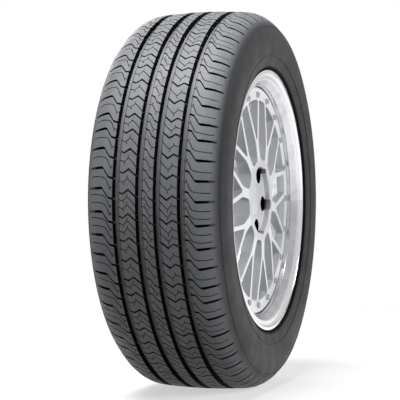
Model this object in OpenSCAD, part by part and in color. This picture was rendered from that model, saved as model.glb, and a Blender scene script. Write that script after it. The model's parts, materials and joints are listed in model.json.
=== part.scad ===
/* [Tyre] */
// Outer diameter over the tread
tyre_d = 700; // [660:1:740]
// Overall width across the sidewalls
tyre_w = 246; // [236:1:256]
// Radius of the crown across the tread
crown_r = 860; // [600:10:1400]
// Radius of the shoulder, seen in section
shoulder_r = 52; // [44:1:56]
// Radius of the lower sidewall, seen in section
sidewall_r = 150; // [120:1:200]
// Thickness from tread surface to inner liner
crown_t = 17; // [15:0.5:20]
// Thickness of the sidewall at its widest place
sidewall_t = 7; // [5:0.5:10]
// Inner radius of the shoulder, seen in section
liner_r = 38; // [32:1:42]
// Gap between the rim's flange and the foot of the sidewall
foot_gap = 5; // [4:0.5:7]
// Width of one bead at its seat
bead_w = 17; // [14:0.5:20]
// Height of the bead's thick foot
bead_h = 18; // [14:0.5:20]
// Depth of the flat spot that the tyre stands on
flat_depth = 1.6; // [1:0.1:3]
// Height of the thin raised rings on the sidewall
ring_h = 0.8; // [0.4:0.1:1.5]
// Width of the thin raised rings on the sidewall
ring_w = 1.6; // [1:0.1:3]

/* [Tread] */
// Distance of the outer grooves from the centre plane
outer_groove_z = 57; // [55:0.5:60]
// Distance of the inner grooves from the centre plane
inner_groove_z = 15.5; // [14:0.5:17]
// Width of the four main grooves at the surface
groove_w = 11; // [8:0.5:12.5]
// Width of the four main grooves at the bottom
groove_floor_w = 6; // [4:0.5:7]
// Depth of the four main grooves
groove_depth = 8; // [6:0.5:9]
// Depth of the cross slots in the three middle ribs
slot_depth = 6.5; // [4:0.5:8]
// Depth of the cross slots where they meet the outer grooves
shoulder_slot_depth = 6; // [4:0.5:8]
// How far from the centre plane the shoulder slots run out
slot_end_z = 111; // [106:1:114]
// Number of times the sequence of tread blocks repeats round the tyre
sequences = 4; // [3:1:5]
// Length of a short block compared with a middling one
short_block = 0.83; // [0.7:0.01:1]
// Length of a long block compared with a middling one
long_block = 1.15; // [1:0.01:1.3]

/* [Rim] */
// Diameter of the bead seats
seat_d = 436.6; // [430:0.1:440]
// Width between the flanges
rim_w = 203.2; // [198:0.1:212]
// Height of the flanges above the bead seats
flange_h = 21.6; // [17:0.1:23]
// Radius of the flange curl
flange_r = 11; // [9.5:0.05:12]
// Thickness of the flanges
flange_t = 5; // [4:0.1:6]
// Height of a flange's upright part, under its curl
throat_h = 6; // [4:0.5:8]
// Length of the slope between a flange's upright part and the wall under its bead
lip_slope_len = 12.5; // [10:0.5:14]
// Wall of the rim under either bead
lip_t = 7.3; // [6:0.1:9]
// Height of the hump that keeps a bead on its seat
hump_h = 1; // [0.6:0.1:1.5]
// Wall of the inner barrel
barrel_t = 5; // [4:0.1:6]
// Radius of the drop centre, tyre side
well_r = 194; // [190:0.5:200]
// Length of the slope between the valve and the drop centre
well_slope_len = 20; // [16:0.5:24]
// Width of the drop centre's floor
well_w = 26; // [20:0.5:32]
// Length of the slope on the inboard side of the drop centre
waist_len = 16; // [10:0.5:22]
// How far the barrel is waisted between the drop centre and the inner bead
waist_drop = 10; // [6:0.5:14]
// Inner radius of the two bolted rings
bolted_ring_r = 182; // [178:0.5:186]
// Thickness of each bolted ring
bolted_ring_t = 8; // [6:0.5:10]

/* [Spoke centre] */
// Distance from the wheel's centre plane to the hub face
offset = 45; // [35:0.5:55]
// Front face of the bolt ring, from the centre plane
ring_front = 86; // [82:0.5:88]
// Thickness of the bolt ring
ring_t = 12; // [10:0.5:14]
// Inner radius of the bolt ring
ring_inner_r = 186; // [184:0.5:188]
// Front of the hub's raised rim, from the centre plane
hub_front = 93.5; // [90:0.5:98]
// Radius of the hub between the spokes
hub_r = 76; // [72:0.5:80]
// Radius of the dish in the hub's front
dish_r = 61; // [60:0.5:66]
// Depth of the dish in the hub's front
dish_depth = 12; // [8:0.5:14]
// Radius of the hub's mounting face
pad_r = 72; // [68:0.5:74]
// Number of forked spokes
spokes = 10; // [8:1:12]
// Angle of the first spoke, up from the horizontal
spoke_angle = -8; // [-18:1:18]
// Width of a spoke's stem
stem_w = 18; // [14:0.5:20]
// Radius at which a stem forks
fork_r = 98; // [94:0.5:106]
// Angle between the middle of a spoke and the end of either arm
arm_spread = 11.4; // [10:0.1:12.5]
// Width of a spoke's arm
arm_w = 8; // [6:0.5:10]
// Depth of an arm where it meets the bolt ring
arm_depth = 13; // [10:0.5:16]
// Depth of a stem where it meets the hub
stem_depth = 24; // [18:0.5:30]

/* [Hub] */
// Diameter of the centre bore
bore_d = 57.1; // [56:0.1:60]
// Length of the centre bore, behind the centre cap's own bore
bore_len = 20; // [14:0.5:22]
// Diameter of the circle of wheel bolt holes
lug_circle_d = 100; // [98:0.1:104]
// Number of wheel bolt holes
lugs = 5; // [4:1:6]
// Diameter of a wheel bolt hole
lug_d = 15; // [13:0.1:17]
// Diameter of a wheel bolt pocket
lug_pocket_d = 28; // [24:0.5:30]
// Thickness under the seat of a wheel bolt
lug_seat_t = 9; // [7:0.5:12]

/* [Rim bolts] */
// Number of rim bolts
rim_bolts_n = 20; // [16:1:24]
// Radius of the circle of rim bolts
bolt_circle_r = 195; // [194:0.1:197]
// Diameter of a rim bolt's shank
bolt_d = 7; // [6:0.5:8]
// Width of a rim bolt's head across its corners
bolt_head_d = 10; // [9:0.5:12]
// Height of a rim bolt's head
bolt_head_h = 3.5; // [3:0.5:6]
// Diameter of the collar under a rim bolt's head
bolt_collar_d = 12.5; // [11:0.5:14]
// Height of the collar under a rim bolt's head
bolt_collar_h = 1; // [0.8:0.1:2]
// Diameter of the rim bolt holes
bolt_hole_d = 7.6; // [7.4:0.1:8.6]
// Width of a rim nut across its flats
nut_w = 11; // [10:0.5:13]
// Height of a rim nut
nut_h = 7; // [5:0.5:9]

/* [Centre cap] */
// Diameter of the centre cap's face
cap_d = 60; // [58:0.5:62]
// Diameter of the bore that holds the centre cap
cap_bore_d = 54; // [50:0.5:55]
// Thickness of the centre cap's rim
cap_t = 2.4; // [2:0.1:3]
// How far the middle of the cap stands out
cap_dome = 1.6; // [0.5:0.1:3]
// Length of the cap's skirt inside the bore
cap_skirt = 11; // [8:0.5:14]
// Wall of the cap's skirt
cap_skirt_t = 2.2; // [1.5:0.1:3]

/* [Valve] */
// Angle of the valve round the wheel
valve_angle = 226; // [220:1:232]
// Distance of the valve from the centre plane
valve_z = 46; // [44:0.5:47]
// Diameter of the valve body
valve_d = 7.7; // [6:0.1:8.5]
// Length of the valve body
valve_len = 40; // [36:0.5:46]
// Diameter of the valve hole
valve_hole_d = 11.3; // [10:0.1:12]
// Diameter of the rubber grommet
grommet_d = 15.5; // [14:0.5:16]
// Width of the valve nut across its flats
valve_nut_w = 12; // [11:0.5:13]
// Height of the valve nut
valve_nut_h = 6; // [4:0.5:8]
// Diameter of the valve cap
valve_cap_d = 10; // [9.5:0.1:12]
// Length of the valve cap
valve_cap_len = 12; // [10:0.5:14]
// Diameter of the valve core's pin
valve_core_d = 2.6; // [2:0.1:3.2]

/* [Hidden] */
$fn = 96;
// Clearance between pieces that sit in or round each other
fit = 0.2;
// Overrun of a cut past the faces it opens
over = 1;

// The wheel's pieces are laid out round Z, with the outboard side up, and on_axle() turns them.
// A section's places are [distance from the centre plane, radius].
tyre_r = tyre_d/2;
half_w = tyre_w/2;
seat_r = seat_d/2;
flange_face = rim_w/2;
rim_r = seat_r + flange_h;

// Stack of the wheel's pieces along the axle, from the front
ring_back = ring_front - ring_t;
lip_ring_back = ring_back - bolted_ring_t;
barrel_ring_back = lip_ring_back - bolted_ring_t;
dish_floor = hub_front - dish_depth;
lip_inner_r = seat_r - lip_t;
land_r = seat_r - 0.5;
barrel_inner_r = land_r - barrel_t;
spoke_ring_r = lip_inner_r - 1.5;

function polar(r, a) = [r*cos(a), r*sin(a)];
function arc(centre, r, from, to, n) =
    [for (i = [0:n]) centre + polar(r, from + (to - from)*i/n)];
function unit(v) = v/norm(v);
function turn(p, a) = [p[0]*cos(a) - p[1]*sin(a), p[0]*sin(a) + p[1]*cos(a)];
function swap(list) = [for (p = list) [p[1], p[0]]];
function flip(list) = [for (p = list) [-p[0], p[1]]];
function backwards(list) = [for (i = [len(list) - 1:-1:0]) list[i]];
// Where a line from p along the unit vector d meets the circle of radius r round the axle
function reach_circle(p, d, r) = p + d*(sqrt(pow(p*d, 2) - p*p + r*r) - p*d);

// Corner b of an outline, between a and c, rounded to radius r
function round_corner(a, b, c, r, n = 4) =
    let (u = unit(a - b), v = unit(c - b), half = acos(u*v)/2,
         centre = b + unit(u + v)*r/sin(half),
         start = b + u*r/tan(half) - centre,
         end = b + v*r/tan(half) - centre,
         from = atan2(start[1], start[0]),
         sweep = atan2(end[1], end[0]) - from,
         short = sweep > 180 ? sweep - 360 : sweep < -180 ? sweep + 360 : sweep)
    arc(centre, r, from, from + short, n);
function rounded(p, radii) = [
    for (i = [0:len(p) - 1])
        each radii[i] > 0
            ? round_corner(p[(i + len(p) - 1)%len(p)], p[i], p[(i + 1)%len(p)], radii[i])
            : [p[i]]];

module on_axle() rotate([90, 0, 0]) children();
module ring_of(n, first = 0) for (i = [0:n - 1]) rotate([0, 0, first + 360*i/n]) children();
module turned(section) rotate_extrude($fn = 180) polygon(swap(section));

// Tyre section: crown and shoulder are arcs that run into each other
crown_centre = tyre_r - crown_r;
shoulder_z = half_w - shoulder_r;
shoulder_rad = crown_centre + sqrt(pow(crown_r - shoulder_r, 2) - pow(shoulder_z, 2));
shoulder_tilt = asin(shoulder_z/(crown_r - shoulder_r));
shoulder_centre = [shoulder_z, shoulder_rad];
sidewall_centre = [half_w - sidewall_r, shoulder_rad];
sidewall_foot = asin((shoulder_rad - rim_r - foot_gap)/sidewall_r);
foot = sidewall_centre + polar(sidewall_r, -sidewall_foot);
foot_r = 8;
liner_crown_r = crown_r - crown_t;
liner_z = half_w - sidewall_t - liner_r;
liner_rad = crown_centre + sqrt(pow(liner_crown_r - liner_r, 2) - pow(liner_z, 2));
liner_tilt = asin(liner_z/(liner_crown_r - liner_r));
liner_low_r = 96;
liner_low_tilt = 24;
heel_r = 6;
bead_face = flange_face - fit;
bead_seat = seat_r + fit;
bead_toe = flange_face - bead_w;
// The middle rib is flat across, and the ribs beside it lean with the crown
function crown_radius(z) = z <= inner_groove_z ? tyre_r : crown_centre + sqrt(crown_r*crown_r - z*z);

outer_half = concat(
    [for (z = [inner_groove_z, outer_groove_z]) [z, crown_radius(z)]],
    arc(shoulder_centre, shoulder_r, 90 - shoulder_tilt, 37, 4),
    arc(shoulder_centre, shoulder_r, 30, 0, 6),
    arc(sidewall_centre, sidewall_r, -2, 2 - sidewall_foot, 11),
    round_corner(sidewall_centre + polar(sidewall_r, 2 - sidewall_foot), foot,
                 [flange_face + 0.8, rim_r - 1.5], foot_r, 3),
    [[flange_face + 0.8, rim_r - 1.5], [bead_face, rim_r - 6]],
    arc([bead_face - heel_r, bead_seat + heel_r], heel_r, 0, -90, 5),
    [[bead_toe, bead_seat]]);
inner_half = concat(
    [[bead_toe - 1, bead_seat + 2], [bead_toe + 1, bead_seat + bead_h]],
    arc([half_w - sidewall_t - liner_low_r, liner_rad], liner_low_r, -liner_low_tilt, -3, 8),
    arc([liner_z, liner_rad], liner_r, 0, 90 - liner_tilt, 12),
    arc([0, crown_centre], liner_crown_r, 89 - liner_tilt, 89.5, 5));
half_section = concat(outer_half, inner_half);

module tyre_body() turned(concat(half_section, backwards(flip(half_section))));

// A thin raised ring round the tyre, at a place on its side that faces the angle a
module raised_ring(place, a) {
    along = polar(ring_w/2, a + 90);
    out = polar(ring_h, a);
    turned([place - along - out, place + along - out,
            place + along*0.6 + out, place - along*0.6 + out]);
}
shoulder_ring_a = 29;
side_ring_a = -11;
module sidewall_rings() for (m = [0, 1]) mirror([0, 0, m]) {
    raised_ring(shoulder_centre + polar(shoulder_r, shoulder_ring_a), shoulder_ring_a);
    raised_ring(sidewall_centre + polar(sidewall_r, side_ring_a), side_ring_a);
}

// Lengths of the tread blocks in one sequence, which varies them to spread their noise
M = 1;
S = short_block;
L = long_block;
sequence = [M, S, M, M, M, S, M, M, M, L, L, M, M, S, M, L];
sequence_start = 129.75;
function sum(list, n) = n <= 0 ? 0 : list[n - 1] + sum(list, n - 1);
function block_angle(i) = sequence_start + 360/sequences*
    (floor(i/len(sequence)) + sum(sequence, i%len(sequence))/sum(sequence, len(sequence)));

// Half of a cross slot in the three middle ribs: [distance from the centre plane, place round
// the tyre, width]. The other half is the same, given half a turn.
middle_slot = [
    [3, 5, 2.8], [inner_groove_z - 5, 9.5, 2.8],
    [inner_groove_z - 3.5, 9.5, 2], [inner_groove_z + 3.5, -2.5, 2],
    [inner_groove_z + 5, -2.5, 3.4], [33.5, 8.5, 3.8], [43.5, 1.8, 3.2],
    [outer_groove_z - 0.5, 8, 3]];
// A cross slot in the outboard shoulder, in the same terms
shoulder_slot = [
    [outer_groove_z + 0.5, -7, 4], [68, -4, 3.4], [78.5, 11.2, 3.2], [82, 12, 4.8],
    [slot_end_z + 1, 10.8, 3.4]];
function half_turned(list) = [for (p = backwards(list)) [-p[0], -p[1], p[2]]];
function strip(list) = concat(
    [for (p = list) [-p[0], p[1] + p[2]/2]],
    [for (p = backwards(list)) [-p[0], p[1] - p[2]/2]]);

// The shoulder slots' floor is a plane that follows the shoulder down
floor_z = outer_groove_z;
floor_rad = crown_radius(outer_groove_z) - shoulder_slot_depth;
floor_end_rad = shoulder_rad + sqrt(pow(shoulder_r, 2) - pow(slot_end_z - shoulder_z, 2));
floor_slope = atan((floor_rad - floor_end_rad)/(slot_end_z - floor_z));

module main_groove(z) {
    top = crown_radius(abs(z));
    half_floor = groove_floor_w/2;
    half_top = half_floor + (groove_w/2 - half_floor)*(groove_depth + over)/groove_depth;
    turned([[z - half_floor, top - groove_depth], [z + half_floor, top - groove_depth],
            [z + half_top, top + over], [z - half_top, top + over]]);
}
module middle_cut() {
    path = concat(half_turned(middle_slot), middle_slot);
    translate([tyre_r - slot_depth, 0, 0]) rotate([0, 90, 0])
        linear_extrude(slot_depth + over) polygon(strip(path));
}
module shoulder_cut() {
    path = [for (p = shoulder_slot) [(p[0] - floor_z)/cos(floor_slope), p[1], p[2]]];
    translate([floor_rad, 0, floor_z]) rotate([0, 90 - floor_slope, 0])
        linear_extrude(2*shoulder_slot_depth) polygon(strip(path));
}
module block_cuts(i) rotate([0, 0, block_angle(i)]) {
    middle_cut();
    shoulder_cut();
    rotate([180, 0, 0]) shoulder_cut();
}

module tyre() color([0.16, 0.16, 0.165]) on_axle() difference() {
    union() {
        tyre_body();
        sidewall_rings();
    }
    for (z = [-outer_groove_z, -inner_groove_z, inner_groove_z, outer_groove_z]) main_groove(z);
    for (i = [0:sequences*len(sequence) - 1]) block_cuts(i);
    translate([-tyre_r, flat_depth - 2*tyre_r, -tyre_w]) cube([tyre_d, tyre_r, 2*tyre_w]);
}

// Flange and bead seat of a rim half: up its tyre side to the tip, and down its open side
flange_centre = [flange_face + flange_r, rim_r - flange_r];
seat_fillet = heel_r + 0.5;
hump_z = flange_face - bead_w - 4;
flange_tyre_side = concat(
    [[hump_z - 3, land_r], [hump_z - 1, seat_r + hump_h], [hump_z + 1, seat_r + hump_h],
     [hump_z + 3, seat_r]],
    arc([flange_face - seat_fillet, seat_r + seat_fillet], seat_fillet, -90, 0, 5),
    arc(flange_centre, flange_r, 180, 96, 9));
flange_open_side = arc(flange_centre, flange_r - flange_t, 96, 180, 6);
throat_z = flange_face + flange_t;
lip_slope = [[throat_z, flange_centre[1] - throat_h], [throat_z - lip_slope_len, lip_inner_r]];
lip_bends = [0, 3, 6, 0];

bolt_angle = spoke_angle + 180/rim_bolts_n;
module bolt_holes() ring_of(rim_bolts_n, bolt_angle)
    translate([bolt_circle_r, 0, 0]) cylinder(h = hub_front, d = bolt_hole_d);

module outer_lip() color([0.88, 0.89, 0.9]) on_axle() difference() {
    turned(concat(
        [[lip_ring_back, bolted_ring_r], [lip_ring_back, land_r]],
        flange_tyre_side, flange_open_side,
        rounded(concat([flange_open_side[6]], lip_slope, [[ring_back, lip_inner_r]]), lip_bends),
        [[ring_back, bolted_ring_r]]));
    bolt_holes();
}

// Places along the barrel, from its bolted ring inboard
land_end_z = valve_z - valve_hole_d;
well_front_z = land_end_z - well_slope_len;
well_back_z = well_front_z - well_w;
well_inner_r = well_r - barrel_t;
barrel_back_z = -hump_z + 4;
barrel_waist_z = well_back_z - waist_len;
barrel_waist_r = land_r - waist_drop;

module inner_barrel() color([0.72, 0.73, 0.74]) on_axle() difference() {
    turned(concat(
        [[lip_ring_back, bolted_ring_r], [lip_ring_back, land_r], [land_end_z, land_r],
         [well_front_z, well_r], [well_back_z, well_r], [barrel_waist_z, barrel_waist_r],
         [barrel_back_z, land_r]],
        flip(flange_tyre_side), flip(flange_open_side),
        flip(rounded(concat([flange_open_side[6]], lip_slope, [[hump_z, lip_inner_r]]), lip_bends)),
        [[barrel_back_z, barrel_inner_r], [barrel_waist_z, barrel_waist_r - barrel_t],
         [well_back_z, well_inner_r], [well_front_z, well_inner_r],
         [land_end_z, barrel_inner_r], [barrel_ring_back, barrel_inner_r],
         [barrel_ring_back, bolted_ring_r]]));
    bolt_holes();
    valve_place() translate([0, 0, -over]) cylinder(h = barrel_t + 2*over, d = valve_hole_d);
}

// Spoke centre: one solid of revolution with two kinds of windows cut through it
arm_end = polar(ring_inner_r + arm_w/2, arm_spread);
arm_way = unit(arm_end - [fork_r, 0]);
arm_side = [-arm_way[1], arm_way[0]]*arm_w/2;
fork = [fork_r, 0];
arm_outer_bend = fork + arm_side + arm_way*(stem_w/2 - arm_side[1])/arm_way[1];
arm_outer_end = reach_circle(fork + arm_side, arm_way, ring_inner_r);
arm_inner_bend = fork - arm_side + arm_way*arm_side[1]/arm_way[1];
arm_inner_end = reach_circle(fork - arm_side, arm_way, ring_inner_r);
stem_foot = [sqrt(hub_r*hub_r - stem_w*stem_w/4), stem_w/2];
function below(p) = [p[0], -p[1]];
function angle_of(p) = atan2(p[1], p[0]);

// Window between the two arms of one spoke, whose stem lies along X
fork_arc = arc([0, 0], ring_inner_r, -angle_of(arm_inner_end), angle_of(arm_inner_end), 4);
fork_window = rounded(
    concat([arm_inner_bend, below(arm_inner_end)],
           [for (i = [1:3]) fork_arc[i]], [arm_inner_end]),
    [3, 4, 0, 0, 0, 4]);
// Window between two spokes, which lie to either side of X
side_turn = 180/spokes;
lower_side = [for (p = [stem_foot, arm_outer_bend, arm_outer_end]) turn(p, -side_turn)];
side_arc = arc([0, 0], ring_inner_r, angle_of(lower_side[2]), -angle_of(lower_side[2]), 4);
side_window = rounded(
    concat(lower_side, [for (i = [1:3]) side_arc[i]], [for (p = backwards(lower_side)) below(p)]),
    [10, 40, 4, 0, 0, 0, 4, 40, 10]);

ring_edge = 2;
spoke_back_z = hub_front - stem_depth;
arm_front_z = ring_back + arm_depth;
spoke_section = concat(
    [[offset, bore_d/2], [offset, pad_r - 1], [offset + 1, pad_r], [spoke_back_z, hub_r + 4],
     [ring_back, ring_inner_r], [ring_back, spoke_ring_r - 1], [ring_back + 1, spoke_ring_r],
     [ring_front - 1, spoke_ring_r], [ring_front, spoke_ring_r - 1],
     [ring_front, ring_inner_r + ring_edge], [arm_front_z, ring_inner_r],
     [hub_front - 0.5, hub_r], [hub_front, hub_r - 3], [hub_front, dish_r + 1.5],
     [hub_front - 1.5, dish_r], [dish_floor + 1, dish_r], [dish_floor, dish_r - 1],
     [dish_floor, cap_d/2 + fit], [dish_floor - cap_t, cap_d/2 + fit],
     [dish_floor - cap_t, cap_bore_d/2], [offset + bore_len, cap_bore_d/2],
     [offset + bore_len, bore_d/2]]);
seat_cone_a = 30;
seat_cone_h = (lug_pocket_d - lug_d)/2/tan(seat_cone_a);

module spoke_centre() color([0.86, 0.87, 0.88]) on_axle() difference() {
    turned(spoke_section);
    ring_of(spokes, spoke_angle) linear_extrude(2*hub_front) polygon(fork_window);
    ring_of(spokes, spoke_angle + side_turn) linear_extrude(2*hub_front) polygon(side_window);
    bolt_holes();
    ring_of(lugs, spoke_angle) translate([lug_circle_d/2, 0, offset]) {
        translate([0, 0, -over]) cylinder(h = lug_seat_t + 2*over, d = lug_d);
        translate([0, 0, lug_seat_t]) cylinder(h = seat_cone_h, d1 = lug_d, d2 = lug_pocket_d);
        translate([0, 0, lug_seat_t + seat_cone_h]) cylinder(h = hub_front, d = lug_pocket_d);
    }
}

// A twelve-pointed head is two hexagons, one turned against the other
module rim_bolts() color([0.8, 0.8, 0.82]) on_axle() ring_of(rim_bolts_n, bolt_angle)
    translate([bolt_circle_r, 0, ring_front]) {
        cylinder(h = bolt_collar_h, d = bolt_collar_d);
        for (a = [0, 30]) rotate([0, 0, a])
            cylinder(h = bolt_collar_h + bolt_head_h, d = bolt_head_d, $fn = 6);
        translate([0, 0, -bolt_len]) cylinder(h = bolt_len + bolt_collar_h/2, d = bolt_d);
    }
bolt_end = 2;
bolt_len = ring_front - barrel_ring_back + nut_h + bolt_end;

module rim_nuts() color([0.7, 0.7, 0.72]) on_axle() ring_of(rim_bolts_n, bolt_angle)
    translate([bolt_circle_r, 0, barrel_ring_back - nut_h]) difference() {
        cylinder(h = nut_h, d = nut_w/cos(30), $fn = 6);
        translate([0, 0, -over]) cylinder(h = nut_h + 2*over, d = bolt_d + 2*fit);
    }

cap_r = cap_d/2;
cap_edge = 0.6;
skirt_end = dish_floor - cap_t - cap_skirt;
skirt_r = cap_bore_d/2 - fit;
module centre_cap() color([0.9, 0.9, 0.91]) on_axle() turned([
    [dish_floor - cap_t, 0], [dish_floor - cap_t, skirt_r - cap_skirt_t],
    [skirt_end, skirt_r - cap_skirt_t], [skirt_end, skirt_r - cap_edge],
    [skirt_end + 1, skirt_r], [dish_floor - cap_t, skirt_r],
    [dish_floor - cap_t, cap_r], [dish_floor - cap_edge, cap_r], [dish_floor, cap_r - cap_edge],
    [dish_floor + cap_dome*0.5, cap_r - 4], [dish_floor + cap_dome*0.85, cap_r*0.6],
    [dish_floor + cap_dome, cap_r*0.3], [dish_floor + cap_dome, 0]]);

// The valve points from the barrel's tyre side at the axle
module valve_place() rotate([0, 0, valve_angle]) translate([land_r, 0, valve_z])
    rotate([0, -90, 0]) children();
valve_foot_h = 2;
grommet_h = 3;
valve_bore_d = valve_core_d + 1;
curve_gap = 0.2;
cap_roof = 2;
core_depth = 16;
plug_len = 7;
pin_len = 15.5;
module ring_solid(from, to, outer_d, inner_d) translate([0, 0, from]) difference() {
    cylinder(h = to - from, d = outer_d);
    translate([0, 0, -over]) cylinder(h = to - from + 2*over, d = inner_d);
}
module valve_body() color([0.75, 0.75, 0.77]) on_axle() valve_place() translate([0, 0, -grommet_h]) {
    ring_solid(-valve_foot_h, 0, grommet_d - 2, valve_bore_d);
    ring_solid(0, valve_len, valve_d, valve_bore_d);
}
module valve_grommet() color([0.1, 0.1, 0.1]) on_axle() valve_place() {
    ring_solid(-grommet_h, 0, grommet_d, valve_d + 2*fit);
    ring_solid(0, barrel_t, valve_hole_d - 2*fit, valve_d + 2*fit);
}
module valve_nut() color([0.75, 0.75, 0.77]) on_axle() valve_place()
    translate([0, 0, barrel_t + curve_gap]) difference() {
        cylinder(h = valve_nut_h, d = valve_nut_w/cos(30), $fn = 6);
        translate([0, 0, -over]) cylinder(h = valve_nut_h + 2*over, d = valve_d + 2*fit);
    }
valve_end = valve_len - grommet_h;
module valve_core() color([0.8, 0.7, 0.4]) on_axle() valve_place()
    translate([0, 0, valve_end - core_depth]) {
        cylinder(h = plug_len, d = valve_bore_d - 2*fit);
        cylinder(h = pin_len, d = valve_core_d/2);
    }
module valve_cap() color([0.12, 0.12, 0.12]) on_axle() valve_place()
    translate([0, 0, valve_end - valve_cap_len + cap_roof]) difference() {
        cylinder(h = valve_cap_len, d = valve_cap_d);
        translate([0, 0, -over])
            cylinder(h = valve_cap_len - cap_roof + over + fit, d = valve_d + 2*fit);
    }

tyre();
outer_lip();
inner_barrel();
spoke_centre();
rim_bolts();
rim_nuts();
centre_cap();
valve_body();
valve_grommet();
valve_nut();
valve_core();
valve_cap();
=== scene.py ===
"""Looks for a car tyre on a bolted alloy wheel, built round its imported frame.

Everything is in metres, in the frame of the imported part: the axle lies along Y, the outboard
side faces -Y, and +Z is up. Places round the tyre are angles from +X towards +Z.
"""

import json
import logging
import math
from dataclasses import dataclass
from enum import Enum

import bpy
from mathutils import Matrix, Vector

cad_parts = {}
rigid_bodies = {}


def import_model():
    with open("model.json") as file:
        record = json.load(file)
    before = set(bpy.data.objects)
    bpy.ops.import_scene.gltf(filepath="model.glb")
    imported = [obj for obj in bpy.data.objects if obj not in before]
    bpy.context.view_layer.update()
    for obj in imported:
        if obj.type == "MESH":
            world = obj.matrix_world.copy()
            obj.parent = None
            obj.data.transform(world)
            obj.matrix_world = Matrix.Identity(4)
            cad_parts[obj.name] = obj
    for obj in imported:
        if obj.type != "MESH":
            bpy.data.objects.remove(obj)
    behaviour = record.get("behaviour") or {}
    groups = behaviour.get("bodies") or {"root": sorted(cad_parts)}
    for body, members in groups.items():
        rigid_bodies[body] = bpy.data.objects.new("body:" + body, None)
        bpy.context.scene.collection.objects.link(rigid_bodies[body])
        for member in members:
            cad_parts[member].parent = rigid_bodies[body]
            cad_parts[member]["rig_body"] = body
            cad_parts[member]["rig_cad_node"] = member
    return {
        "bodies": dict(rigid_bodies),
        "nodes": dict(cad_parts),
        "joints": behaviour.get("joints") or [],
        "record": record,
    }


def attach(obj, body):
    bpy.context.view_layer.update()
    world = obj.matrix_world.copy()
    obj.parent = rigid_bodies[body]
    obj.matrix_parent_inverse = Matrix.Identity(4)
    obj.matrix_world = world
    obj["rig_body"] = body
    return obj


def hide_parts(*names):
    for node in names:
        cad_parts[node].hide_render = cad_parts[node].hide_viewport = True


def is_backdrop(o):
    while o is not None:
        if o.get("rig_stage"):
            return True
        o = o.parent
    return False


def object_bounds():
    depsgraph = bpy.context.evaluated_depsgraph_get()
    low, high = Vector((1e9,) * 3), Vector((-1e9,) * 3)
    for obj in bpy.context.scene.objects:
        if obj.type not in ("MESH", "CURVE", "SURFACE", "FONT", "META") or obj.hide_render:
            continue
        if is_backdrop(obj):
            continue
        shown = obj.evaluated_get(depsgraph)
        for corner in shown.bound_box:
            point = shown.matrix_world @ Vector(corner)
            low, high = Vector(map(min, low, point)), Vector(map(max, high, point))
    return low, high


LOG = logging.getLogger("car_tyre")
MM = 0.001

Frame = dict
Object = bpy.types.Object
Material = bpy.types.Material
Node = bpy.types.Node
Socket = bpy.types.NodeSocket
Tree = bpy.types.NodeTree
Colour = tuple[float, float, float, float]
Value = Node | Socket | Colour | tuple | float
Inputs = dict[str, Value]

SMOOTH = {"interpolation_type": "SMOOTHSTEP"}
COLOURS = {"data_type": "RGBA"}
TIMES = {"operation": "MULTIPLY"}
PLUS = {"operation": "ADD"}
MINUS = {"operation": "SUBTRACT"}
TIMES_PLUS = {"operation": "MULTIPLY_ADD"}
LARGER = {"operation": "MAXIMUM"}
# Nearly all values of a noise pattern lie between these.
MOST_NOISE = (0.3, 0.7)


class Body(Enum):
    """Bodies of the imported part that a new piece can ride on."""

    ROOT = "root"


class Solver(Enum):
    """Ways to cut one mesh with another."""

    FAST = "MANIFOLD"
    CAREFUL = "EXACT"


def linear(code: str) -> Colour:
    """Turns an sRGB hex colour into the linear colour that shaders take.

    Args:
        code: six hex digits.

    Returns:
        Linear red, green and blue, and an alpha of 1.
    """
    parts = [value / 255 for value in bytes.fromhex(code)]
    red, green, blue = (p / 12.92 if p <= 0.04045 else ((p + 0.055) / 1.055) ** 2.4 for p in parts)
    return red, green, blue, 1.0


def add_node(tree: Tree, kind: str, settings: dict | None = None, inputs: Inputs | tuple = ()) -> Node:
    """Adds a shader node with its settings and links.

    Args:
        tree: the node tree that it joins.
        kind: the node's type, without the words that all types start with.
        settings: the node's own settings by name.
        inputs: what goes into its inputs, by name, or in order as a tuple. Each is a constant, a
            socket, or a node that gives its first live output.

    Returns:
        The new node.
    """
    node = tree.nodes.new("ShaderNode" + kind)
    for name, setting in (settings or {}).items():
        setattr(node, name, setting)
    if isinstance(inputs, tuple):
        pairs = list(zip((socket for socket in node.inputs if socket.enabled), inputs))
    else:
        pairs = [(node.inputs[name], value) for name, value in inputs.items()]
    for socket, value in pairs:
        if isinstance(value, Node):
            value = next(output for output in value.outputs if output.enabled)
        if isinstance(value, Socket):
            tree.links.new(value, socket)
        else:
            socket.default_value = value
    return node


def pattern(point: Value, size_mm: float, layers: float = 3.0) -> Inputs:
    """Sizes a noise pattern by the real size of what it shows.

    Args:
        point: the place that it is read at.
        size_mm: size of one blotch.
        layers: how many finer layers it has.

    Returns:
        The pattern's inputs.
    """
    return {"Vector": point, "Scale": 1 / (size_mm * MM), "Detail": layers, "Roughness": 0.55}


@dataclass(frozen=True)
class TreadProfile:
    """The rounded face of the tread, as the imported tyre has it."""

    radius: float = 350 * MM
    crown_r: float = 860 * MM
    shoulder_from: float = 71 * MM
    shoulder_r: float = 52 * MM
    shoulder_gain: float = 1.12

    @property
    def crown_bend(self) -> float:
        """Gives the crown's drop for each square metre of distance from the centre plane."""
        return 1 / 2 / self.crown_r

    @property
    def shoulder_bend(self) -> float:
        """Gives the shoulder's further drop for each square metre of distance from its start."""
        return self.shoulder_gain / 2 / self.shoulder_r

    def face_radius(self, outboard: float) -> float:
        """Gives the radius of the tread's face.

        Args:
            outboard: distance from the centre plane.

        Returns:
            The face's distance from the axle.
        """
        across = abs(outboard)
        beyond = max(0.0, across - self.shoulder_from)
        return self.radius - across ** 2 * self.crown_bend - beyond ** 2 * self.shoulder_bend


PROFILE = TreadProfile()


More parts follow.
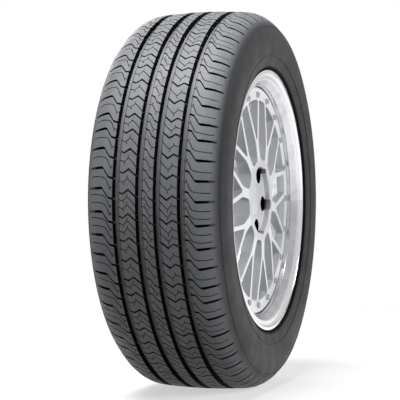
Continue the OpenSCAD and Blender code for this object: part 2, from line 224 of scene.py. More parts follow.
@dataclass(frozen=True)
class Finish:
    """A finish: what all of them share is a name and one Principled shader."""

    name: str

    def surface(self, tree: Tree) -> Inputs:
        """Gives what goes into the shader's inputs. Each finish has its own."""
        raise NotImplementedError(self.name)

    def build(self) -> Material:
        """Builds the material.

        Returns:
            The material, with the finish's surface in its shader.
        """
        material = bpy.data.materials.new(self.name)
        material.use_nodes = True
        tree = material.node_tree
        tree.nodes.clear()
        shader = add_node(tree, "BsdfPrincipled", inputs=self.surface(tree))
        add_node(tree, "OutputMaterial", inputs={"Surface": shader})
        return material

    def place(self, tree: Tree) -> tuple[Socket, Node, Node]:
        """Reads where a point is on the wheel.

        Args:
            tree: the material's node tree.

        Returns:
            The point, and its distances from the axle and from the centre plane.
        """
        point = add_node(tree, "TexCoord").outputs["Object"]
        parts = add_node(tree, "SeparateXYZ", inputs=(point,))
        flat = add_node(tree, "CombineXYZ", inputs={"X": parts.outputs["X"], "Z": parts.outputs["Z"]})
        radius = add_node(tree, "VectorMath", {"operation": "LENGTH"}, (flat,))
        across = add_node(tree, "Math", {"operation": "ABSOLUTE"}, (parts.outputs["Y"],))
        return point, radius, across

    def band(self, tree: Tree, value: Value, edges: tuple) -> Node:
        """Finds where a value lies in a band with soft edges.

        Args:
            tree: the material's node tree.
            value: the value.
            edges: where the band begins, is full, begins to end and ends.

        Returns:
            The node with 1 inside and 0 outside.
        """
        rising = add_node(tree, "MapRange", SMOOTH, (value, *edges[:2], 0.0, 1.0))
        falling = add_node(tree, "MapRange", SMOOTH, (value, *edges[2:], 1.0, 0.0))
        return add_node(tree, "Math", TIMES, (rising, falling))


@dataclass(frozen=True)
class MouldedTyreRubber(Finish):
    """Carbon-black rubber, cured in a steel mould: deep grey, faintly satin, with a fine grain.

    The tread's face is paler than the sidewall: partly a pale film from the mould, partly painted shade on
    the sidewall. Black is painted as shade in its cuts and as a shadow line beside the flange; thin painted
    shadow lines darken the grooves' outboard edges.
    """

    # The paler tread face is partly a film from the mould; the much darker sidewall colour is partly painted
    # shade.
    face: str = "606265"
    side: str = "1e1f21"
    # Black painted as shade in the tread's cuts and as a shadow line beside the flange.
    cut: str = "0b0b0c"
    # The mould's real grain is near 0.1 mm. It is drawn coarser, to show in the render.
    grain_mm: float = 0.9
    speck_mm: float = 2.2
    speck_shades: tuple = (0.86, 1.14)
    blotch_mm: float = 38.0
    blotch_noise: tuple = (0.35, 0.65)
    blotch_shades: tuple = (0.92, 1.06)
    roughness: tuple = (0.52, 0.66)
    # Rubber's gloss in the open, and in a deep cut, where hardly any light comes out again.
    gloss: tuple = (0.5, 0.04)
    ior: float = 1.52
    # Where the darker sidewall colour, partly painted shade, gives way to the paler tread face.
    bloom_and_side_shade_r: tuple = (322 * MM, 338 * MM)
    # Where a shadow line is painted black on the rubber beside the flange.
    flange_shadow_r: tuple = (244.5 * MM, 250 * MM)
    rib_mm: float = 2.4
    rib_band: tuple = (262 * MM, 264 * MM, 300 * MM, 302 * MM)
    # A painted shadow line along each groove's outboard edge: its width and its darkest share.
    edge_mm: float = 2.4
    edge_share: float = 0.22
    groove_edges_mm: tuple = (-63.8, -22.3, 8.7, 50.2)
    # Cut walls painted black as shade: how they face, and how far out they lie.
    wall_facing: tuple = (0.32, 0.56)
    wall_r: tuple = (324 * MM, 329 * MM)
    # Floors of the shoulder slots painted black as shade: depth under the face, place across, and radius.
    floor_depth: tuple = (4.5 * MM, 2.5 * MM)
    floor_band: tuple = (63 * MM, 65 * MM, 98 * MM, 104 * MM)
    floor_r: tuple = (320 * MM, 324 * MM)

    def surface(self, tree: Tree) -> Inputs:
        """Mixes the rubber's colour and shine, and presses its grain.

        Args:
            tree: the material's node tree.

        Returns:
            What goes into the shader's inputs.
        """
        point, radius, across = self.place(tree)
        blotch = add_node(tree, "TexNoise", inputs=pattern(point, self.blotch_mm))
        dark = self.painted_shade_places(tree, point, radius, across)
        return {
            "Base Color": self.colour(tree, point, radius, blotch, dark),
            "Roughness": add_node(tree, "MapRange", SMOOTH, (blotch, *MOST_NOISE, *self.roughness)),
            "Specular IOR Level": add_node(tree, "MapRange", SMOOTH, (dark, 0.0, 1.0, *self.gloss)),
            "Normal": self.relief(tree, point, radius),
            "IOR": self.ior,
        }

    def colour(self, tree: Tree, point: Socket, radius: Node, blotch: Node, dark: Node) -> Node:
        """Mixes the rubber's colour.

        Args:
            tree: the material's node tree.
            point: the place.
            radius: its distance from the axle.
            blotch: noise of large soft blotches.
            dark: 1 where black is painted as shade.

        Returns:
            The node with the colour.
        """
        # Paler on the tread face than on the sidewall: partly a film from the mould, partly painted shade on
        # the sidewall.
        tread = add_node(tree, "MapRange", SMOOTH, (radius, *self.bloom_and_side_shade_r, 0.0, 1.0))
        bloom_and_side_shade = add_node(tree, "Mix", COLOURS, (tread, linear(self.side), linear(self.face)))
        # Paints black as shade in the cuts and as a shadow line beside the flange.
        colour = add_node(tree, "Mix", COLOURS, (dark, bloom_and_side_shade, linear(self.cut)))
        specks = add_node(tree, "TexNoise", inputs=pattern(point, self.speck_mm, 2.0))
        speck = add_node(tree, "MapRange", SMOOTH, (specks, *MOST_NOISE, *self.speck_shades))
        cloud = add_node(tree, "MapRange", SMOOTH, (blotch, *self.blotch_noise, *self.blotch_shades))
        shade = add_node(tree, "Math", TIMES, (cloud, speck))
        # Multiplies in the painted shadow lines along the grooves' outboard edges.
        edged = add_node(tree, "Math", TIMES, (shade, self.painted_edge_shadow(tree, point)))
        return add_node(tree, "VectorMath", {"operation": "SCALE"}, (colour, edged))

    def relief(self, tree: Tree, point: Socket, radius: Node) -> Node:
        """Presses the mould's grain, and the fine rings round the sidewall.

        Args:
            tree: the material's node tree.
            point: the place.
            radius: its distance from the axle.

        Returns:
            The node with the surface's direction.
        """
        grain = add_node(tree, "TexNoise", inputs=pattern(point, self.grain_mm, 2.0))
        pressed = add_node(tree, "Bump", inputs={"Strength": 0.18, "Distance": 0.2 * MM, "Height": grain})
        turns = add_node(tree, "Math", TIMES, (radius, 2 * math.pi / (self.rib_mm * MM)))
        wave = add_node(tree, "Math", {"operation": "SINE"}, (turns,))
        ribs = add_node(tree, "Math", TIMES, (wave, self.band(tree, radius, self.rib_band)))
        return add_node(tree, "Bump", inputs={"Strength": 0.35, "Distance": 0.3 * MM, "Height": ribs,
                                              "Normal": pressed})

    def painted_edge_shadow(self, tree: Tree, point: Socket) -> Node:
        """Paints a thin shadow line along the outboard edge of each groove.

        Args:
            tree: the material's node tree.
            point: the place.

        Returns:
            The node with the factor, 1 away from the edges.
        """
        across = add_node(tree, "SeparateXYZ", inputs=(point,)).outputs["Y"]
        factor: Value = 1.0
        for edge in self.groove_edges_mm:
            near = add_node(tree, "Math", {"operation": "COMPARE"},
                            (across, edge * MM, self.edge_mm / 2 * MM))
            shade = add_node(tree, "MapRange", SMOOTH, (near, 0.0, 1.0, 1.0, self.edge_share))
            factor = add_node(tree, "Math", TIMES, (factor, shade))
        return factor

    def painted_shade_places(self, tree: Tree, point: Socket, radius: Node, across: Node) -> Node:
        """Finds where black is painted on the rubber as shade: in the tread's cuts and beside the flange.

        Args:
            tree: the material's node tree.
            point: the place.
            radius: its distance from the axle.
            across: its distance from the centre plane.

        Returns:
            The node with 1 in a dark place and 0 elsewhere.
        """
        # A painted shadow line on the rubber beside the flange.
        flange = add_node(tree, "MapRange", SMOOTH, (radius, *self.flange_shadow_r, 1.0, 0.0))
        steep = add_node(tree, "Math", LARGER, (self.painted_wall_shade(tree, point, radius), flange))
        return add_node(tree, "Math", LARGER, (steep, self.painted_floor_shade(tree, radius, across)))

    def painted_wall_shade(self, tree: Tree, point: Socket, radius: Node) -> Node:
        """Finds the walls of grooves, slots and sipes, which don't face away from the axle, to paint them
        black as shade.

        Args:
            tree: the material's node tree.
            point: the place.
            radius: its distance from the axle.

        Returns:
            The node with 1 on a wall in the tread and 0 elsewhere.
        """
        facing = add_node(tree, "TexCoord").outputs["Normal"]
        outwards = add_node(tree, "VectorMath", TIMES, (point, (1.0, 0.0, 1.0)))
        along = add_node(tree, "VectorMath", {"operation": "DOT_PRODUCT"}, (facing, outwards))
        share = add_node(tree, "Math", {"operation": "DIVIDE"}, (along, radius))
        wall = add_node(tree, "MapRange", SMOOTH, (share, *self.wall_facing, 1.0, 0.0))
        inside = add_node(tree, "MapRange", SMOOTH, (radius, *self.wall_r, 0.0, 1.0))
        return add_node(tree, "Math", TIMES, (wall, inside))

    def painted_floor_shade(self, tree: Tree, radius: Node, across: Node) -> Node:
        """Finds the floors of the shoulder slots, which lie well under the rounded face of the tread, to
        paint them black as shade.

        Args:
            tree: the material's node tree.
            radius: the place's distance from the axle.
            across: its distance from the centre plane.

        Returns:
            The node with 1 on a deep floor and 0 elsewhere.
        """
        squared = add_node(tree, "Math", TIMES, (across, across))
        crown = add_node(tree, "Math", TIMES_PLUS, (squared, PROFILE.crown_bend, radius))
        beyond = add_node(tree, "Math", MINUS | {"use_clamp": True}, (across, PROFILE.shoulder_from))
        bent = add_node(tree, "Math", TIMES, (beyond, beyond))
        level = add_node(tree, "Math", TIMES_PLUS, (bent, PROFILE.shoulder_bend, crown))
        depths = (PROFILE.radius - depth for depth in self.floor_depth)
        deep = add_node(tree, "MapRange", SMOOTH, (level, *depths, 1.0, 0.0))
        tread = add_node(tree, "MapRange", SMOOTH, (radius, *self.floor_r, 0.0, 1.0))
        shoulder = add_node(tree, "Math", TIMES, (self.band(tree, across, self.floor_band), tread))
        return add_node(tree, "Math", TIMES, (deep, shoulder))


@dataclass(frozen=True)
class LatheTurnedAluminium(Finish):
    """Aluminium turned on a lathe and polished: bright, with fine rings round the axle.

    Long soft smears of polish lie along the axle. The flange is polished brightest.
    """

    colour: str = "d0d1d4"
    second: str = "c2c3c7"
    edge: str = "f1f1f3"
    edge_r: tuple = (219 * MM, 224 * MM)
    # Real turning marks are near 0.2 mm apart. They are drawn wider, to show in the render.
    ring_mm: float = 1.6
    smear_mm: float = 24.0
    smear_stretch: float = 6.0
    smear_noise: tuple = (0.4, 0.7)
    smear_dulls: float = 0.06
    roughness: float = 0.2
    roughness_spread: float = 0.05

    def surface(self, tree: Tree) -> Inputs:
        """Turns the rings and lays the smears.

        Args:
            tree: the material's node tree.

        Returns:
            What goes into the shader's inputs.
        """
        point, radius, across = self.place(tree)
        rings = add_node(tree, "CombineXYZ", inputs={"X": radius, "Y": across})
        turned = add_node(tree, "TexNoise", inputs=pattern(rings, self.ring_mm, 4.0))
        drawn = add_node(tree, "VectorMath", TIMES, (point, (1.0, 1 / self.smear_stretch, 1.0)))
        smear = add_node(tree, "TexNoise", inputs=pattern(drawn, self.smear_mm, 1.0))
        low, high = self.roughness - self.roughness_spread, self.roughness + self.roughness_spread
        rough = add_node(tree, "MapRange", SMOOTH, (turned, *MOST_NOISE, low, high))
        dulled = add_node(tree, "MapRange", SMOOTH, (smear, *self.smear_noise, 0.0, self.smear_dulls))
        tinted = add_node(tree, "MapRange", SMOOTH, (smear, *MOST_NOISE, 0.0, 1.0))
        tint = add_node(tree, "Mix", COLOURS, (tinted, linear(self.colour), linear(self.second)))
        flange = add_node(tree, "MapRange", SMOOTH, (radius, *self.edge_r, 0.0, 1.0))
        return {
            "Base Color": add_node(tree, "Mix", COLOURS, (flange, tint, linear(self.edge))),
            "Roughness": add_node(tree, "Math", PLUS, (rough, dulled)),
            "Normal": add_node(tree, "Bump", inputs={"Strength": 0.12, "Distance": 0.05 * MM,
                                                     "Height": turned}),
            "Metallic": 1.0,
        }


@dataclass(frozen=True)
class SilverLacquer(Finish):
    """Silver wheel paint under clear lacquer: pale, soft metal shine with a fine sparkle."""

    colour: str = "dcdde0"
    second: str = "d2d3d6"
    cloud_mm: float = 45.0
    # Real flakes are near 0.05 mm. They are drawn larger, to show in the render.
    flake_mm: float = 0.8
    peel_mm: float = 6.0
    metallic: float = 0.3
    roughness: float = 0.38
    roughness_spread: float = 0.06
    coat: float = 0.5
    coat_roughness: float = 0.12

    def surface(self, tree: Tree) -> Inputs:
        """Lays the paint, with flakes that each turn the light a little, and the lacquer.

        Args:
            tree: the material's node tree.

        Returns:
            What goes into the shader's inputs.
        """
        point, radius, _ = self.place(tree)
        flakes = add_node(tree, "TexVoronoi", inputs={"Vector": point, "Scale": 1 / (self.flake_mm * MM)})
        flake = add_node(tree, "SeparateColor", inputs=(flakes.outputs["Color"],))
        low, high = self.roughness - self.roughness_spread, self.roughness + self.roughness_spread
        peel = add_node(tree, "TexNoise", inputs=pattern(point, self.peel_mm, 1.0))
        return {
            "Base Color": self.tone(tree, point, radius),
            "Roughness": add_node(tree, "MapRange", SMOOTH, (flake, 0.0, 1.0, low, high)),
            "Normal": add_node(tree, "Bump", inputs={"Strength": 0.05, "Distance": 0.1 * MM,
                                                     "Height": peel}),
            "Metallic": self.metallic,
            "Coat Weight": self.coat,
            "Coat Roughness": self.coat_roughness,
        }

    def tone(self, tree: Tree, point: Socket, radius: Node) -> Node:
        """Mixes the paint's colour.

        Args:
            tree: the material's node tree.
            point: the place.
            radius: its distance from the axle; not used here.

        Returns:
            The node with the colour.
        """
        cloud = add_node(tree, "TexNoise", inputs=pattern(point, self.cloud_mm))
        share = add_node(tree, "MapRange", SMOOTH, (cloud, *MOST_NOISE, 0.0, 1.0))
        return add_node(tree, "Mix", COLOURS, (share, linear(self.colour), linear(self.second)))


@dataclass(frozen=True)
class SpokeLacquer(SilverLacquer):
    """The spoke centre's paint: near-white spoke fronts, grey painted shade on the spoke sides, and near
    black painted shade in the wheel bolt pockets.
    """

    spoke: str = "efeff1"
    spoke_r: tuple = (70 * MM, 84 * MM)
    # Grey painted shade on the spoke sides, which don't face outboard.
    painted_flank_shade: str = "c8cace"
    flank_facing: tuple = (-0.9, -0.5)
    # Near black painted shade in the wheel bolt pockets.
    pocket: str = "040404"
    pocket_r: float = 14.1 * MM
    pocket_edge: float = 0.3 * MM
    # Painted shade in each bolt pocket: where its mouth is and where it is fully dark, along the axle, and
    # the mouth's share of dark.
    pocket_y: tuple = (-88 * MM, -80 * MM)
    mouth_share: float = 0.4
    gloss: float = 0.5
    lugs: int = 5
    lug_angle_deg: float = -8.0
    lug_circle_r: float = 50 * MM

    def surface(self, tree: Tree) -> Inputs:
        """Lays the paint, without gloss in the pockets, where hardly any light comes out again.

        Args:
            tree: the material's node tree.

        Returns:
            What goes into the shader's inputs.
        """
        inputs = super().surface(tree)
        point, radius, _ = self.place(tree)
        lit = add_node(tree, "MapRange", SMOOTH, (self.lug_distance(tree, point, radius), self.pocket_r,
                                                  self.pocket_r + self.pocket_edge, 0.0, 1.0))
        for name, full in (("Coat Weight", self.coat), ("Specular IOR Level", self.gloss)):
            inputs[name] = add_node(tree, "Math", TIMES, (lit, full))
        return inputs

    def tone(self, tree: Tree, point: Socket, radius: Node) -> Node:
        """Mixes the paint's colour from the hub's and the spokes', with grey painted shade on the sides and
        near black painted shade in the bolt pockets.

        Args:
            tree: the material's node tree.
            point: the place.
            radius: its distance from the axle.

        Returns:
            The node with the colour.
        """
        hub = super().tone(tree, point, radius)
        outer = add_node(tree, "MapRange", SMOOTH, (radius, *self.spoke_r, 0.0, 1.0))
        front = add_node(tree, "Mix", COLOURS, (outer, hub, linear(self.spoke)))
        facing = add_node(tree, "SeparateXYZ", inputs=(add_node(tree, "TexCoord").outputs["Normal"],))
        # Painted shade: the sides that don't face outboard are greyer.
        turned = add_node(tree, "MapRange", SMOOTH, (facing.outputs["Y"], *self.flank_facing, 0.0, 1.0))
        painted = add_node(tree, "Mix", COLOURS, (turned, front, linear(self.painted_flank_shade)))
        # Painted shade: near black in the bolt pockets, lighter at their mouths.
        near = add_node(tree, "MapRange", SMOOTH, (self.lug_distance(tree, point, radius), self.pocket_r,
                                                   self.pocket_r + self.pocket_edge, 1.0, 0.0))
        along = add_node(tree, "SeparateXYZ", inputs=(point,))
        deep = add_node(tree, "MapRange", SMOOTH, (along.outputs["Y"], *self.pocket_y, self.mouth_share, 1.0))
        shaded = add_node(tree, "Math", TIMES, (near, deep))
        return add_node(tree, "Mix", COLOURS, (shaded, painted, linear(self.pocket)))

    def lug_distance(self, tree: Tree, point: Socket, radius: Node) -> Node:
        """Measures how far a point is from the axis of the nearest wheel bolt.

        Args:
            tree: the material's node tree.
            point: the place.
            radius: its distance from the axle.

        Returns:
            The node with the distance.
        """
        share = 2 * math.pi / self.lugs
        first = share / 2 - math.radians(self.lug_angle_deg)
        parts = add_node(tree, "SeparateXYZ", inputs=(point,))
        angle = add_node(tree, "Math", {"operation": "ARCTAN2"}, (parts.outputs["Z"], parts.outputs["X"]))
        shifted = add_node(tree, "Math", PLUS, (angle, first))
        folded = add_node(tree, "Math", {"operation": "FLOORED_MODULO"}, (shifted, share))
        turn = add_node(tree, "Math", MINUS, (folded, share / 2))
        ahead = add_node(tree, "Math", {"operation": "COSINE"}, (turn,))
        aside = add_node(tree, "Math", {"operation": "SINE"}, (turn,))
        way = add_node(tree, "CombineXYZ", inputs={"X": ahead, "Y": aside})
        place = add_node(tree, "VectorMath", {"operation": "SCALE"}, (way, radius))
        return add_node(tree, "VectorMath", {"operation": "DISTANCE"}, (place, (self.lug_circle_r, 0.0, 0.0)))


@dataclass(frozen=True)
class SmallMetal(Finish):
    """Bare or plated metal of small parts: bright, dulled here and there by handling marks."""

    colour: str = "c9cacd"
    second: str = "b4b5b9"
    roughness: float = 0.24
    polished: float = 0.05
    dulled: float = 0.12
    mark_mm: float = 2.0
    mark_noise: tuple = (0.35, 0.7)

    def surface(self, tree: Tree) -> Inputs:
        """Polishes the metal and marks it.

        Args:
            tree: the material's node tree.

        Returns:
            What goes into the shader's inputs.
        """
        point = add_node(tree, "TexCoord").outputs["Object"]
        marks = add_node(tree, "TexNoise", inputs=pattern(point, self.mark_mm, 4.0))
        low, high = self.roughness - self.polished, self.roughness + self.dulled
        return {
            "Base Color": add_node(tree, "Mix", COLOURS, (marks, linear(self.colour), linear(self.second))),
            "Roughness": add_node(tree, "MapRange", SMOOTH, (marks, *self.mark_noise, low, high)),
            "Normal": add_node(tree, "Bump", inputs={"Strength": 0.1, "Distance": 0.05 * MM,
                                                     "Height": marks}),
            "Metallic": 1.0,
        }


@dataclass(frozen=True)
class MattBlack(Finish):
    """Moulded black rubber or plastic of small parts: dull, with a fine grain."""

    colour: str = "222324"
    second: str = "2b2c2e"
    cloud_mm: float = 8.0
    roughness: float = 0.6
    roughness_spread: float = 0.06
    grain_mm: float = 0.5

    def surface(self, tree: Tree) -> Inputs:
        """Mixes the black and presses the mould's grain.

        Args:
            tree: the material's node tree.

        Returns:
            What goes into the shader's inputs.
        """
        point = add_node(tree, "TexCoord").outputs["Object"]
        grain = add_node(tree, "TexNoise", inputs=pattern(point, self.grain_mm, 2.0))
        cloud = add_node(tree, "TexNoise", inputs=pattern(point, self.cloud_mm))
        low, high = self.roughness - self.roughness_spread, self.roughness + self.roughness_spread
        return {
            "Base Color": add_node(tree, "Mix", COLOURS, (cloud, linear(self.colour), linear(self.second))),
            "Roughness": add_node(tree, "MapRange", SMOOTH, (grain, *MOST_NOISE, low, high)),
            "Normal": add_node(tree, "Bump", inputs={"Strength": 0.2, "Distance": 0.1 * MM,
                                                     "Height": grain}),
        }


def select_only(*pieces: Object) -> None:
    """Selects these objects and nothing else, and makes the first one active.

    Args:
        pieces: the objects.
    """
    bpy.ops.object.select_all(action="DESELECT")
    for piece in pieces:
        piece.select_set(True)
    bpy.context.view_layer.objects.active = pieces[0]


def dress(piece: Object, material: Material) -> None:
    """Gives an object one material.

    Args:
        piece: the object.
        material: its material.
    """
    piece.data.materials.clear()
    piece.data.materials.append(material)


def copy_node(frame: Frame, node: str, name: str) -> Object:
    """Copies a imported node's mesh to a new object, with its loose triangles joined up.

    Args:
        node: the node's name.
        name: the copy's name.

    Returns:
        The copy, which rides on nothing yet.
    """
    select_only(frame["nodes"][node])
    bpy.ops.object.duplicate()
    piece = bpy.context.view_layer.objects.active
    bpy.ops.object.parent_clear(type="CLEAR")
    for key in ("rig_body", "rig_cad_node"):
        if key in piece:
            del piece[key]
    piece.name = name
    bpy.ops.mesh.customdata_custom_splitnormals_clear()
    bpy.ops.object.mode_set(mode="EDIT")
    bpy.ops.mesh.select_all(action="SELECT")
    bpy.ops.mesh.remove_doubles(threshold=0.002 * MM)
    bpy.ops.object.mode_set(mode="OBJECT")
    return piece


def draw_ribbon(points: list[Vector], rise: Vector, width: float, name: str) -> Object:
    """Draws a bent cutting blade: a line from point to point, raised to a ribbon, then thickened.

    Args:
        points: places of the blade's lower edge.
        rise: from its lower to its upper edge.
        width: the blade's thickness.
        name: the object's name.

    Returns:
        The blade.
    """
    bpy.ops.object.select_all(action="DESELECT")
    bpy.ops.mesh.primitive_plane_add(size=0.01)
    blade = bpy.context.view_layer.objects.active
    blade.name = name
    bpy.ops.object.mode_set(mode="EDIT")
    bpy.ops.mesh.select_all(action="SELECT")
    bpy.ops.mesh.merge(type="CENTER")
    bpy.ops.transform.translate(value=points[0])
    for before, after in zip(points, points[1:]):
        bpy.ops.mesh.extrude_vertices_move(TRANSFORM_OT_translate={"value": after - before})
    bpy.ops.mesh.select_all(action="SELECT")
    bpy.ops.mesh.extrude_region_move(TRANSFORM_OT_translate={"value": rise})
    bpy.ops.object.mode_set(mode="OBJECT")
    wall = blade.modifiers.new("thickness", "SOLIDIFY")
    wall.thickness = width
    wall.offset = 0.0
    wall.use_even_offset = True
    bpy.ops.object.modifier_apply(modifier=wall.name)
    return blade


@dataclass
class Tyre:
    """The tyre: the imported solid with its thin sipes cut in."""

    sipe_width: float = 1.35 * MM
    sipe_depth: float = 5 * MM
    blade_height: float = 12 * MM
    short_block: float = 0.83
    long_block: float = 1.15
    sequences: int = 4
    sequence_start_deg: float = 129.75
    smooth_deg: float = 24.0
    solver: Solver = Solver.FAST
    # One sequence of blocks round the tyre: medium, short and long ones.
    blocks: str = "MSMMMSMMMLLMMSML"
    # Half of the sipe lines of a block: distance outboard of the centre plane, place round the
    # tyre from the block's middle, both in mm. The other half is the same, given half a turn.
    middle_rib: tuple = ((-10.4, -7.7), (-4.7, -6.7), (-1.7, -3.7), (1.7, 3.7), (4.7, 6.7), (10.4, 7.7))
    side_rib: tuple = ((19.8, -6.6), (23.8, -1.2), (28.6, 4.3), (33.6, 8.8), (35.9, 10.6), (39.6, 6.3),
                       (43.6, 3.6), (47.6, 5.4), (52.1, 7.0))
    shoulder_rib: tuple = ((61.8, -5.0), (66.1, -4.2), (68.9, -1.6), (70.9, 2.4), (73.4, 7.6),
                           (75.9, 10.6), (78.4, 12.2), (85.9, 13.6), (95.9, 14.2), (105.4, 13.2))
    # Short ticks that branch off a sipe. They start clear of it, because blades mustn't overlap.
    ticks: tuple = (((35.8, 12.0), (35.6, 15.0)), ((41.6, 3.2), (41.6, -0.4)), ((67.8, -4.6), (66.4, -8.0)),
                    ((-4.4, -8.3), (-3.4, -11.2)))

    def block_angles(self) -> list[float]:
        """Works out where each sipe goes. A long block has two, and any other has one.

        Returns:
            For each sipe the angle round the tyre, in degrees.
        """
        sizes = {"M": 1.0, "S": self.short_block, "L": self.long_block}
        unit = 360 / self.sequences / sum(sizes[block] for block in self.blocks)
        places, angle = [], self.sequence_start_deg
        for block in self.blocks * self.sequences:
            span = sizes[block] * unit
            shares = (1 / 3, 2 / 3) if block == "L" else (0.5,)
            places += [angle + span * share for share in shares]
            angle += span
        return places

    def blade(self, line: tuple) -> Object:
        """Makes one cutting blade at the angle 0.

        Args:
            line: places of the sipe, in mm.

        Returns:
            The blade.
        """
        points = []
        for outboard, around in line:
            floor = PROFILE.face_radius(outboard * MM) - self.sipe_depth
            points.append(Vector((math.sqrt(floor ** 2 - (around * MM) ** 2), -outboard * MM, around * MM)))
        return draw_ribbon(points, Vector((self.blade_height, 0, 0)), self.sipe_width, "blade")

    def blades(self) -> Object:
        """Makes every blade round the tyre.

        Returns:
            One object with all of them.
        """
        lines = [self.middle_rib, self.side_rib, self.shoulder_rib, *self.ticks]
        lines += [tuple((-outboard, -around) for outboard, around in line) for line in lines[1:]]
        select_only(*[self.blade(line) for line in lines])
        bpy.ops.object.join()
        first = bpy.context.view_layer.objects.active
        copies = []
        for angle in self.block_angles():
            copy = first.copy()
            copy.data = first.data.copy()
            bpy.context.scene.collection.objects.link(copy)
            copy.rotation_euler = (0, -math.radians(angle), 0)
            copies.append(copy)
        bpy.data.objects.remove(first)
        select_only(*copies)
        bpy.ops.object.transform_apply(location=False, rotation=True, scale=False)
        bpy.ops.object.join()
        return bpy.context.view_layer.objects.active

    def build(self, frame: Frame, material: Material) -> Object:
        """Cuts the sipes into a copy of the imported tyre, and dresses it.

        Args:
            material: the rubber.

        Returns:
            The finished piece.
        """
        piece = copy_node(frame, "tyre", "tyre_with_sipes")
        cutter = self.blades()
        select_only(piece)
        cut = piece.modifiers.new("sipes", "BOOLEAN")
        cut.object, cut.operation, cut.solver = cutter, "DIFFERENCE", self.solver.value
        bpy.ops.object.modifier_apply(modifier=cut.name)
        bpy.data.objects.remove(cutter)
        bpy.ops.object.shade_smooth_by_angle(angle=math.radians(self.smooth_deg))
        dress(piece, material)
        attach(piece, Body.ROOT.value)
        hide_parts("tyre")
        return piece


@dataclass
class Wheel:
    """The bolted wheel: lip, barrel, spoke centre, bolts, cap and valve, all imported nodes."""

    turned: Finish = LatheTurnedAluminium("turned_and_polished_aluminium")
    satin: Finish = LatheTurnedAluminium("turned_satin_aluminium", colour="f0f1f3", second="d6d8dc",
                                         roughness=0.36)
    lacquer: Finish = SpokeLacquer("silver_wheel_lacquer")
    cap: Finish = SilverLacquer("silver_cap_lacquer")
    plated: Finish = SmallMetal("bright_plated_steel")
    nickel: Finish = SmallMetal("nickel_plated_brass", colour="bdbec2")
    brass: Finish = SmallMetal("bare_brass", colour="c9a85a", second="b08f45")
    seal: Finish = MattBlack("moulded_black_rubber")
    plastic: Finish = MattBlack("moulded_black_plastic", colour="1c1d1f", roughness=0.45)

    def finishes(self) -> dict[str, Finish]:
        """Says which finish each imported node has.

        Returns:
            The finishes by the node's name.
        """
        return {
            "outer_lip": self.turned, "inner_barrel": self.satin, "spoke_centre": self.lacquer,
            "rim_bolts": self.plated, "rim_nuts": self.plated, "centre_cap": self.cap,
            "valve_body": self.nickel, "valve_nut": self.nickel, "valve_core": self.brass,
            "valve_grommet": self.seal, "valve_cap": self.plastic,
        }

    def build(self, frame: Frame) -> list[Object]:
        """Dresses the wheel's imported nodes.


        Returns:
            The dressed nodes.
        """
        made: dict[str, Material] = {}
        pieces = []
        for node, finish in self.finishes().items():
            if finish.name not in made:
                made[finish.name] = finish.build()
            dress(frame["nodes"][node], made[finish.name])
            pieces.append(frame["nodes"][node])
        return pieces


@dataclass(frozen=True)
class Softbox:
    """A square soft light that faces the wheel's centre."""

    name: str
    place: tuple
    power: float
    size: float
    mirrored: bool = True

    def hang(self) -> Object:
        """Adds the light.

        Returns:
            The light.
        """
        bpy.ops.object.light_add(type="AREA", location=self.place)
        lamp = bpy.context.view_layer.objects.active
        lamp.name = self.name
        lamp.data.energy, lamp.data.size = self.power, self.size
        lamp.rotation_euler = (-Vector(self.place)).to_track_quat("-Z", "Y").to_euler()
        lamp.visible_glossy = self.mirrored
        return lamp


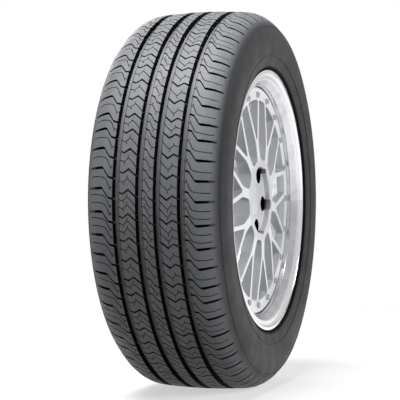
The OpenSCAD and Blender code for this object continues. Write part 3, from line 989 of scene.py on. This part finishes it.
@dataclass
class Studio:
    """A pale floor, soft lights and the photograph's camera."""

    distance: float = 2.6
    azimuth_deg: float = 71.83
    focal_px: float = 1386.0
    image_px: float = 400.0
    centre_px: tuple = (213.45, 200.06)
    sensor_mm: float = 36.0
    floor_size: float = 60.0
    floor_colour: str = "f4f4f4"
    white: str = "ffffff"
    # Between these distances the floor's own glow rises from its first share to all of it.
    glow_from: tuple = (0.7, 2.2)
    glow_share: float = 0.55
    even_light: float = 0.06
    mirrored_light: float = 0.62
    softboxes: tuple = (
        Softbox("softbox_above", (-0.8, 0.35, 2.4), 118.0, 1.6),
        Softbox("softbox_tread_side", (-2.2, 1.7, 0.2), 11.0, 1.5),
        Softbox("softbox_wheel_side", (-0.68, -2.3, 0.75), 60.0, 1.1, mirrored=False),
        Softbox("softbox_behind", (1.8, 1.6, 1.2), 30.0, 1.2),
    )

    def camera(self) -> Object:
        """Adds the camera at the photograph's viewing angle.

        Returns:
            The camera.
        """
        turn = math.radians(self.azimuth_deg)
        place = (-self.distance * math.sin(turn), -self.distance * math.cos(turn), 0)
        bpy.ops.object.camera_add(location=place, rotation=(math.pi / 2, 0, -turn))
        camera = bpy.context.view_layer.objects.active
        camera.data.sensor_width = self.sensor_mm
        camera.data.lens = self.sensor_mm * self.focal_px / self.image_px
        camera.data.shift_x = -(self.centre_px[0] - self.image_px / 2) / self.image_px
        camera.data.shift_y = (self.centre_px[1] - self.image_px / 2) / self.image_px
        bpy.context.scene.camera = camera
        return camera

    def floor(self, height: float) -> Object:
        """Adds the floor, which brightens into the background far from the tyre.

        Args:
            height: its height.

        Returns:
            The floor.
        """
        bpy.ops.mesh.primitive_plane_add(size=self.floor_size, location=(0, 0, height))
        floor = bpy.context.view_layer.objects.active
        floor.name = "studio_floor"
        material = bpy.data.materials.new("pale_studio_floor")
        material.use_nodes = True
        tree = material.node_tree
        tree.nodes.clear()
        point = add_node(tree, "TexCoord").outputs["Object"]
        far = add_node(tree, "VectorMath", {"operation": "LENGTH"}, (point,))
        share = add_node(tree, "MapRange", SMOOTH, (far, *self.glow_from, self.glow_share, 1.0))
        matt = add_node(tree, "BsdfDiffuse", inputs={"Color": linear(self.floor_colour)})
        glow = add_node(tree, "Emission", inputs={"Color": linear(self.white), "Strength": 1.0})
        mixed = add_node(tree, "MixShader", inputs=(share, matt, glow))
        add_node(tree, "OutputMaterial", inputs={"Surface": mixed})
        dress(floor, material)
        floor.visible_diffuse = False
        floor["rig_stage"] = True
        return floor

    def world(self) -> None:
        """Gives a white background, less of it to mirror, and only a little even light."""
        world = bpy.data.worlds.new("white_studio")
        bpy.context.scene.world = world
        world.use_nodes = True
        tree = world.node_tree
        tree.nodes.clear()
        path = add_node(tree, "LightPath").outputs
        seen = add_node(tree, "MapRange", SMOOTH, (path["Is Camera Ray"], 0.0, 1.0, self.even_light, 1.0))
        mirrored = add_node(tree, "MapRange", SMOOTH, (path["Is Glossy Ray"], 0.0, 1.0, 0.0,
                                                       self.mirrored_light))
        strength = add_node(tree, "Math", PLUS, (seen, mirrored))
        back = add_node(tree, "Background", inputs={"Color": linear(self.white), "Strength": strength})
        add_node(tree, "OutputWorld", inputs={"Surface": back})

    def build(self, height: float) -> None:
        """Sets up the whole studio.

        Args:
            height: the floor's height.
        """
        self.camera()
        self.floor(height)
        self.world()
        for softbox in self.softboxes:
            softbox.hang()
        bpy.context.scene.view_settings.view_transform = "Standard"


def main() -> None:
    """Builds the scene, piece by piece, and stands the floor at the bottom of the imported part's box."""
    logging.basicConfig(level=logging.INFO, format="%(name)s: %(message)s")
    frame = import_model()
    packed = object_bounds()
    rubber = MouldedTyreRubber("moulded_tyre_rubber").build()
    tyre = Tyre().build(frame, rubber)
    LOG.info("%s: %d faces", tyre.name, len(tyre.data.polygons))
    for piece in Wheel().build(frame):
        LOG.info("%s: %s", piece.name, piece.data.materials[0].name)
    Studio().build(packed[0].z)


if __name__ == "__main__":
    main()
